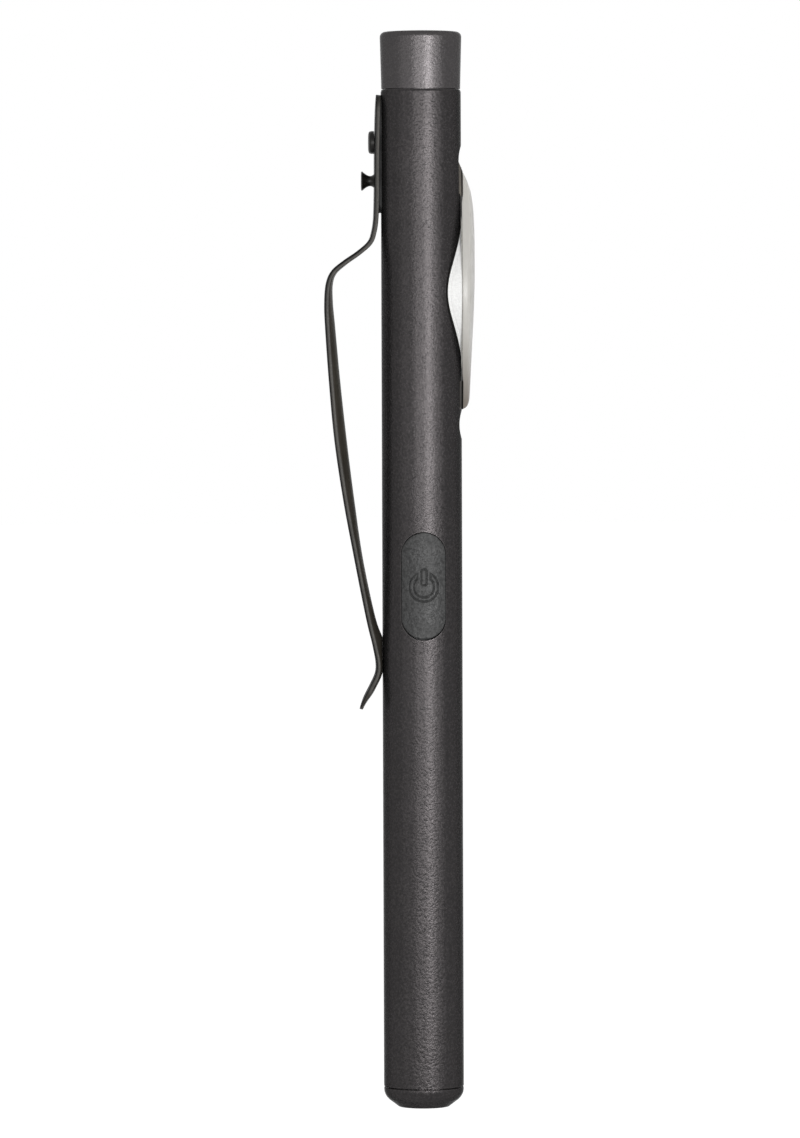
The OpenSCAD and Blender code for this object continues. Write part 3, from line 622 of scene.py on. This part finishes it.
def edge_shade_bead():
    """Round black bead along the window's edge, thicker on the slants and lifted beside the reflector's wall:
    painted shade for the shaded gap and cut wall there.
    """
    n, sides, inset, sunk_r = 96, 10, -0.04, TUBE_R - 0.1
    rings = []
    for i in range(2 * n):
        share = -math.cos(math.pi * i / n)
        side = -1 if i < n else 1
        half, z = window_edge(share, inset)
        middle = math.cos(math.pi / 2 * share)
        r = 0.12 + 0.08 * middle + 0.06 * math.sin(math.pi * share) ** 2
        angle = math.asin(half / TUBE_R)
        lift = 0.14 * middle
        centre = Vector((sunk_r * math.cos(angle) + lift, side * sunk_r * math.sin(angle), z))
        out = Vector((math.cos(angle), side * math.sin(angle), 0))
        ahead = window_edge(-math.cos(math.pi * (i + 0.5) / n), inset)
        run = Vector((0, side * (ahead[0] - half), ahead[1] - z))
        run = (run - out * run.dot(out)).normalized() if run.length > 1e-9 else Vector((0, 0, 1))
        flat = out.cross(run)
        rings.append([centre + r * (math.cos(t) * out + math.sin(t) * flat)
                      for t in (2 * math.pi * k / sides for k in range(sides))])
    rings.append(rings[0])
    return loft(rings, True, False, False)


def lamp_trim_and_shade():
    """Black bead of painted shade, seam bands and layered end lands under the lens, each layer in its own
    plastic, with a painted highlight on the upper land and painted shade on the lower one.
    """
    low_z0, low_z1, high_z0 = 107.2, 111.6, 139.9
    inside_x = LAND_X - 0.03

    def upper(z):
        """Outer face of the upper land, which slopes from the lens's end down to the tube."""
        (za, xa), (zb, xb) = LENS_LINE[-1], (LENS_Z1, 5.76)
        return min(6.38, lerp(xa, xb, (z - za) / (zb - za)))

    shells = [(edge_shade_bead(), 0), (seam(-1), 1), (seam(1), 1),
              # The upper land's paler inner layer is a painted highlight. The lower land repeats the upper
              # land's layers a step darker, as painted shade.
              (land(high_z0, 145.15, inside_x, lambda z: min(LAND_SPLIT_X, upper(z))), 2),
              (land(high_z0, 144.3, LAND_SPLIT_X, upper), 3),
              (land(low_z0, low_z1, inside_x, lambda z: LAND_SPLIT_X), 3),
              (land(low_z0, low_z1, LAND_SPLIT_X, lambda z: 6.36), 0)]
    points, faces, kinds = [], [], []
    for (more, quads), kind in shells:
        first = len(points)
        points += more
        faces += [tuple(first + k for k in f) for f in quads]
        kinds += [kind] * len(quads)
    obj = piece("lamp_trim_and_shade", points, faces, bezel_plastic, 50)
    for mat in (seam_plastic, land_highlight_plastic, dark_land_and_shade):
        obj.data.materials.append(mat)
    obj.data.polygons.foreach_set("material_index", kinds)
    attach(obj, "barrel")
    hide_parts("side_bezel")


def lamp_wall():
    """Outer wall of the reflector with a fine lip groove parallel to the window's edge."""
    n, top, inset = 60, SEAL_X - 0.01, -0.02
    steps = [0.0, 0.1, 0.3, 0.45, 0.52, 0.555, 0.585, 0.61, 0.635, 0.665, 0.7, 0.77]
    rings = []
    for side in (-1, 1):
        for i in range(n):
            share = -math.cos(math.pi * i / n) * -side
            half, z = window_edge(share, inset)
            edge = math.sqrt(TUBE_R ** 2 - half ** 2)
            ahead = window_edge(share + 0.01, inset)
            slope = (math.sqrt(TUBE_R ** 2 - ahead[0] ** 2) - edge) / max(1e-6, ahead[1] - z)
            widen = math.sqrt(1 + slope ** 2)
            marks = [(edge - 0.45, 0.0)] + [(edge + s * widen, s) for s in steps]
            last = max(edge + steps[-1] * widen, edge)
            marks += [(lerp(last, top, k / 5), 2.0) for k in range(1, 6)]
            outer = []
            for x, s in marks:
                dent = 0.13 * math.exp(-((s - 0.61) / 0.05) ** 2) - 0.01 * (1 - smooth(0.5, 0.62, s))
                h, zz = window_edge(share, inset - dent)
                outer.append((min(x, top), side * h, zz))
            h, zz = window_edge(share, inset - 0.2)
            rings.append(outer + [(top, side * h, zz), (edge - 0.45, side * h, zz)])
    rings.append(rings[0])
    points, faces = loft(rings, True, False, False)
    obj = piece("lamp_wall", points, faces, silver, 70)
    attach(obj, "barrel")


lens_cover()
lamp_trim_and_shade()
lamp_wall()


# Backing strip between the clip's root and the tube

def backing_strip():
    """Dark strip with round ends that fills the space behind the clip's root."""
    half, z0, z1 = 1.15, 137.3, 155.2
    rings = []
    for i in range(41):
        z = lerp(z0, z1, i / 40)
        end = min(z - z0, z1 - z)
        w = half * math.sqrt(max(0.06, 1 - max(0.0, 1 - end / 0.9) ** 2))
        face = min(-TUBE_R - 0.02, lerp(-6.53, -6.4, smooth(146, 153, z)))
        ring = [(face + 0.08, -w, z), (face, -w + 0.1, z), (face, w - 0.1, z), (face + 0.08, w, z)]
        backs = [w * (1 - k / 4) for k in range(9)]
        ring += [(-math.sqrt((TUBE_R - 0.02) ** 2 - y * y), y, z) for y in backs]
        rings.append(ring)
    points, faces = loft(rings)
    obj = piece("backing_strip", points, faces, seal_rubber, 50)
    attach(obj, "barrel")
    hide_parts("clip_pad")


backing_strip()


# Push button: rubber pad with a small rolled edge and the generic power sign cut into it as outlines

def sign_distance(x, z):
    """Distance in mm from a point to the outline of the sign, negative inside it."""
    gap_half, bar_half, bar_z, bar_half_l, bar_round = 1.05, 0.12, 1.47, 0.91, 0.3
    ring = abs(math.hypot(x, z) - (SIGN_R - SIGN_LINE / 2)) - SIGN_LINE / 2
    gap = max(abs(x) - gap_half, -z)
    ring = max(ring, -gap)
    bx, bz = abs(x) - bar_half, abs(z - bar_z) - bar_half_l
    bar = math.hypot(max(bx, 0), max(bz, 0)) + min(max(bx, bz), 0) - bar_round
    return min(ring, bar)


def button_grid(half_w, straight):
    """Shares of the width across the pad and heights along it, closest at its edge and round the sign."""
    fine, coarse = 0.06, 0.45
    edge = [0.0, 0.015, 0.04, 0.08, 0.13, 0.2, 0.32, 0.45]
    inner = [-2.9 + fine * i for i in range(int(5.8 / fine) + 1)]
    shares = [x / half_w for x in [-half_w + e for e in edge] + inner + [half_w - e for e in reversed(edge)]]
    arc = [math.sin(math.radians(a)) for a in (89.2, 87.5, 85, 81, 76, 70, 63, 55, 46, 36, 25, 13)]
    ends = [straight + half_w * a for a in arc]
    mids = [straight - coarse * i for i in range(int((straight - 3.1) / coarse) + 1)]
    middle = [3.0 - fine * i for i in range(int(5.8 / fine) + 1)]
    heights = ends + mids + middle + [-m for m in mids] + [-e for e in ends]
    return shares, sorted(set(round(z, 5) for z in heights), reverse=True)


def button_face(x, z, d):
    """Radius in mm of the pad's face and share of the sign's groove there; d is the way to its edge."""
    roll, groove_depth, groove_half = 0.16, 0.16, 0.12
    drop = roll - math.sqrt(max(0.0, roll ** 2 - (roll - d) ** 2)) if d < roll else 0.0
    groove = math.exp(-(sign_distance(x, z + SIGN_DROP) / groove_half) ** 2)
    return BOOT_R - 0.05 - drop - groove_depth * groove + 0.04 * smooth(0.0, 2.5, d), groove


def button_pad():
    """Rubber pad with a skirt down into its window."""
    half_w, half_l = BUTTON_W / 2 + 0.1, BUTTON_L / 2 + 0.02
    low_end, skirt = 0.14, 1.4
    straight = half_l - half_w
    shares, heights = button_grid(half_w, straight)
    rows, cut = [], []
    for z in heights:
        over = max(0.0, abs(z) - straight)
        w = math.sqrt(max(0.0, half_w ** 2 - over ** 2))
        # The lower end stops short, which leaves a wider gap there
        lift = low_end * smooth(straight - 1.0, half_l, -z)
        row = []
        for s in shares:
            x = s * w
            d = half_w - (math.hypot(x, over) if over > 0 else abs(x))
            r, groove = button_face(x, z, max(0.0, d))
            cut.append(groove)
            row.append((x, -math.sqrt(r * r - x * x), BUTTON_Z + z + lift))
        rows.append(row)
    n, m = len(rows), len(rows[0])
    points = [p for row in rows for p in row]
    faces = [(i * m + j, (i + 1) * m + j, (i + 1) * m + j + 1, i * m + j + 1)
             for i in range(n - 1) for j in range(m - 1)]
    # Skirt down into the window, and the back
    rim = list(range(m)) + [i * m + m - 1 for i in range(1, n)]
    rim += [(n - 1) * m + j for j in range(m - 2, -1, -1)] + [i * m for i in range(n - 2, 0, -1)]
    first = len(points)
    points += [(points[k][0], points[k][1] + skirt, points[k][2]) for k in rim]
    count = len(rim)
    faces += [(rim[i], rim[(i + 1) % count], first + (i + 1) % count, first + i) for i in range(count)]
    faces.append(tuple(first + i for i in range(count)))
    obj = piece("button_pad", points, faces, button_rubber, 75)
    # The groove share also darkens the rubber there, as painted shade.
    grooves = obj.data.attributes.new("groove", "FLOAT", "POINT")
    grooves.data.foreach_set("value", cut + [0.0] * count)
    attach(obj, "button")
    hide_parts("button_boot")


button_pad()


# Tail spring: a smooth conical helix with closed end coils

def coil_rise(u):
    """Share of the spring's height at share u of its turns; the end coils lie close together."""
    end, rise = 0.16, 0.09
    if u < end:
        return rise * u / end
    if u < 1 - end:
        return lerp(rise, 1 - rise, (u - end) / (1 - 2 * end))
    return lerp(1 - rise, 1, (u - 1 + end) / end)


def spring_coil():
    """The spring as a round wire, wider at the tail."""
    turns, steps, wire = 6.5, 40, 0.3
    z0, z1, r0, r1 = 2.91, 11.6, 3.3, 2.2
    path = []
    for i in range(int(turns * steps) + 1):
        u = i / (turns * steps)
        a = 2 * math.pi * i / steps
        r = lerp(r0, r1, u)
        path.append((r * math.cos(a), r * math.sin(a), lerp(z0, z1, coil_rise(u))))
    points, faces = sweep(path, wire, 12)
    obj = piece("spring_coil", points, faces, spring_steel)
    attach(obj, "tail")
    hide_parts("tail_spring")


spring_coil()


# Stage: white floor that keeps a soft shadow, white surroundings, soft lamps

def seen_share(tree):
    """1 for camera, mirror and glass rays, else 0."""
    path = tree.nodes.new("ShaderNodeLightPath")
    share = path.outputs["Is Camera Ray"]
    for name in ("Is Glossy Ray", "Is Transmission Ray"):
        both = tree.nodes.new("ShaderNodeMath")
        both.operation = "MAXIMUM"
        tree.links.new(share, both.inputs[0])
        tree.links.new(path.outputs[name], both.inputs[1])
        share = both.outputs[0]
    return share


def make_world(level):
    """White for the camera, mirrors and glass, and a faint even light of that level for the rest."""
    world = bpy.data.worlds.new("studio")
    scene.world = world
    world.use_nodes = True
    tree = world.node_tree
    tree.nodes.clear()
    out = tree.nodes.new("ShaderNodeOutputWorld")
    mix = tree.nodes.new("ShaderNodeMixShader")
    for slot, strength in ((1, level), (2, 1.0)):
        back = tree.nodes.new("ShaderNodeBackground")
        back.inputs["Strength"].default_value = strength
        back.inputs["Color"].default_value = (1, 1, 1, 1)
        tree.links.new(back.outputs[0], mix.inputs[slot])
    tree.links.new(seen_share(tree), mix.inputs[0])
    tree.links.new(mix.outputs[0], out.inputs[0])


def make_floor(albedo, glow):
    """Disc that the camera, mirrors and glass see as white, and that keeps the object's shadow."""
    n, radius = 96, 4000
    # Low enough for the tail cap when it is unscrewed
    height = -6
    turns = [2 * math.pi * i / n for i in range(n)]
    points = [(radius * math.cos(a), radius * math.sin(a), height) for a in turns]
    mat = bpy.data.materials.new("floor")
    mat.use_nodes = True
    tree = mat.node_tree
    tree.nodes.clear()
    out = tree.nodes.new("ShaderNodeOutputMaterial")
    add = tree.nodes.new("ShaderNodeAddShader")
    plain = tree.nodes.new("ShaderNodeBsdfDiffuse")
    plain.inputs["Color"].default_value = (albedo, albedo, albedo, 1)
    shine = tree.nodes.new("ShaderNodeEmission")
    scale = tree.nodes.new("ShaderNodeMath")
    scale.operation = "MULTIPLY"
    scale.inputs[1].default_value = glow
    tree.links.new(seen_share(tree), scale.inputs[0])
    tree.links.new(scale.outputs[0], shine.inputs["Strength"])
    tree.links.new(plain.outputs[0], add.inputs[0])
    tree.links.new(shine.outputs[0], add.inputs[1])
    tree.links.new(add.outputs[0], out.inputs[0])
    floor = piece("floor", points, [tuple(range(n))], mat)


def make_lamp(name, azimuth, height, wide, tall, glow):
    """Area lamp round the object; azimuth is in degrees to the right of the camera's side."""
    distance, aim = 1.2, 0.1
    a = math.radians(azimuth)
    data = bpy.data.lights.new(name, "AREA")
    data.shape, data.size, data.size_y = "RECTANGLE", wide, tall
    data.energy = glow * math.pi * wide * tall
    lamp = bpy.data.objects.new(name, data)
    scene.collection.objects.link(lamp)
    lamp.location = (distance * math.sin(a), -distance * math.cos(a), height)
    lamp.rotation_euler = (Vector((0, 0, aim)) - lamp.location).to_track_quat("-Z", "Y").to_euler()


make_world(0.14)
make_floor(0.6, 0.95)
make_lamp("key", 19, 0.125, 0.46, 0.18, 30)
make_lamp("fill", -10, 0.12, 0.5, 0.18, 12)
make_lamp("left", -45, 0.12, 0.7, 0.2, 2)
make_lamp("right", 45, 0.1, 0.38, 0.18, 7)


# Camera at the photograph's view, where the picture is 800 by 1138

def make_camera(distance, azimuth, height, lean):
    """Aimed at the middle of the picture; lean tips the object's top to the left, in degrees."""
    picture_px, mm_per_px = 1138, 0.15352
    centre = Vector((-3.42, 0, 82.71)) * MM
    a = math.radians(azimuth)
    data = bpy.data.cameras.new("camera")
    data.sensor_width = 36
    data.clip_start, data.clip_end = 0.01, 100
    camera = bpy.data.objects.new("camera", data)
    scene.collection.objects.link(camera)
    camera.location = centre + Vector((distance * math.sin(a), -distance * math.cos(a), height - centre[2]))
    away = centre - camera.location
    data.lens = data.sensor_width * away.length / (picture_px * mm_per_px * MM)
    turn = away.to_track_quat("-Z", "Y") @ Quaternion((0, 0, 1), math.radians(-lean))
    camera.rotation_euler = turn.to_euler()
    scene.camera = camera


make_camera(1.06, -2.0, 0.115, 0.197)
scene.view_settings.view_transform = "Standard"
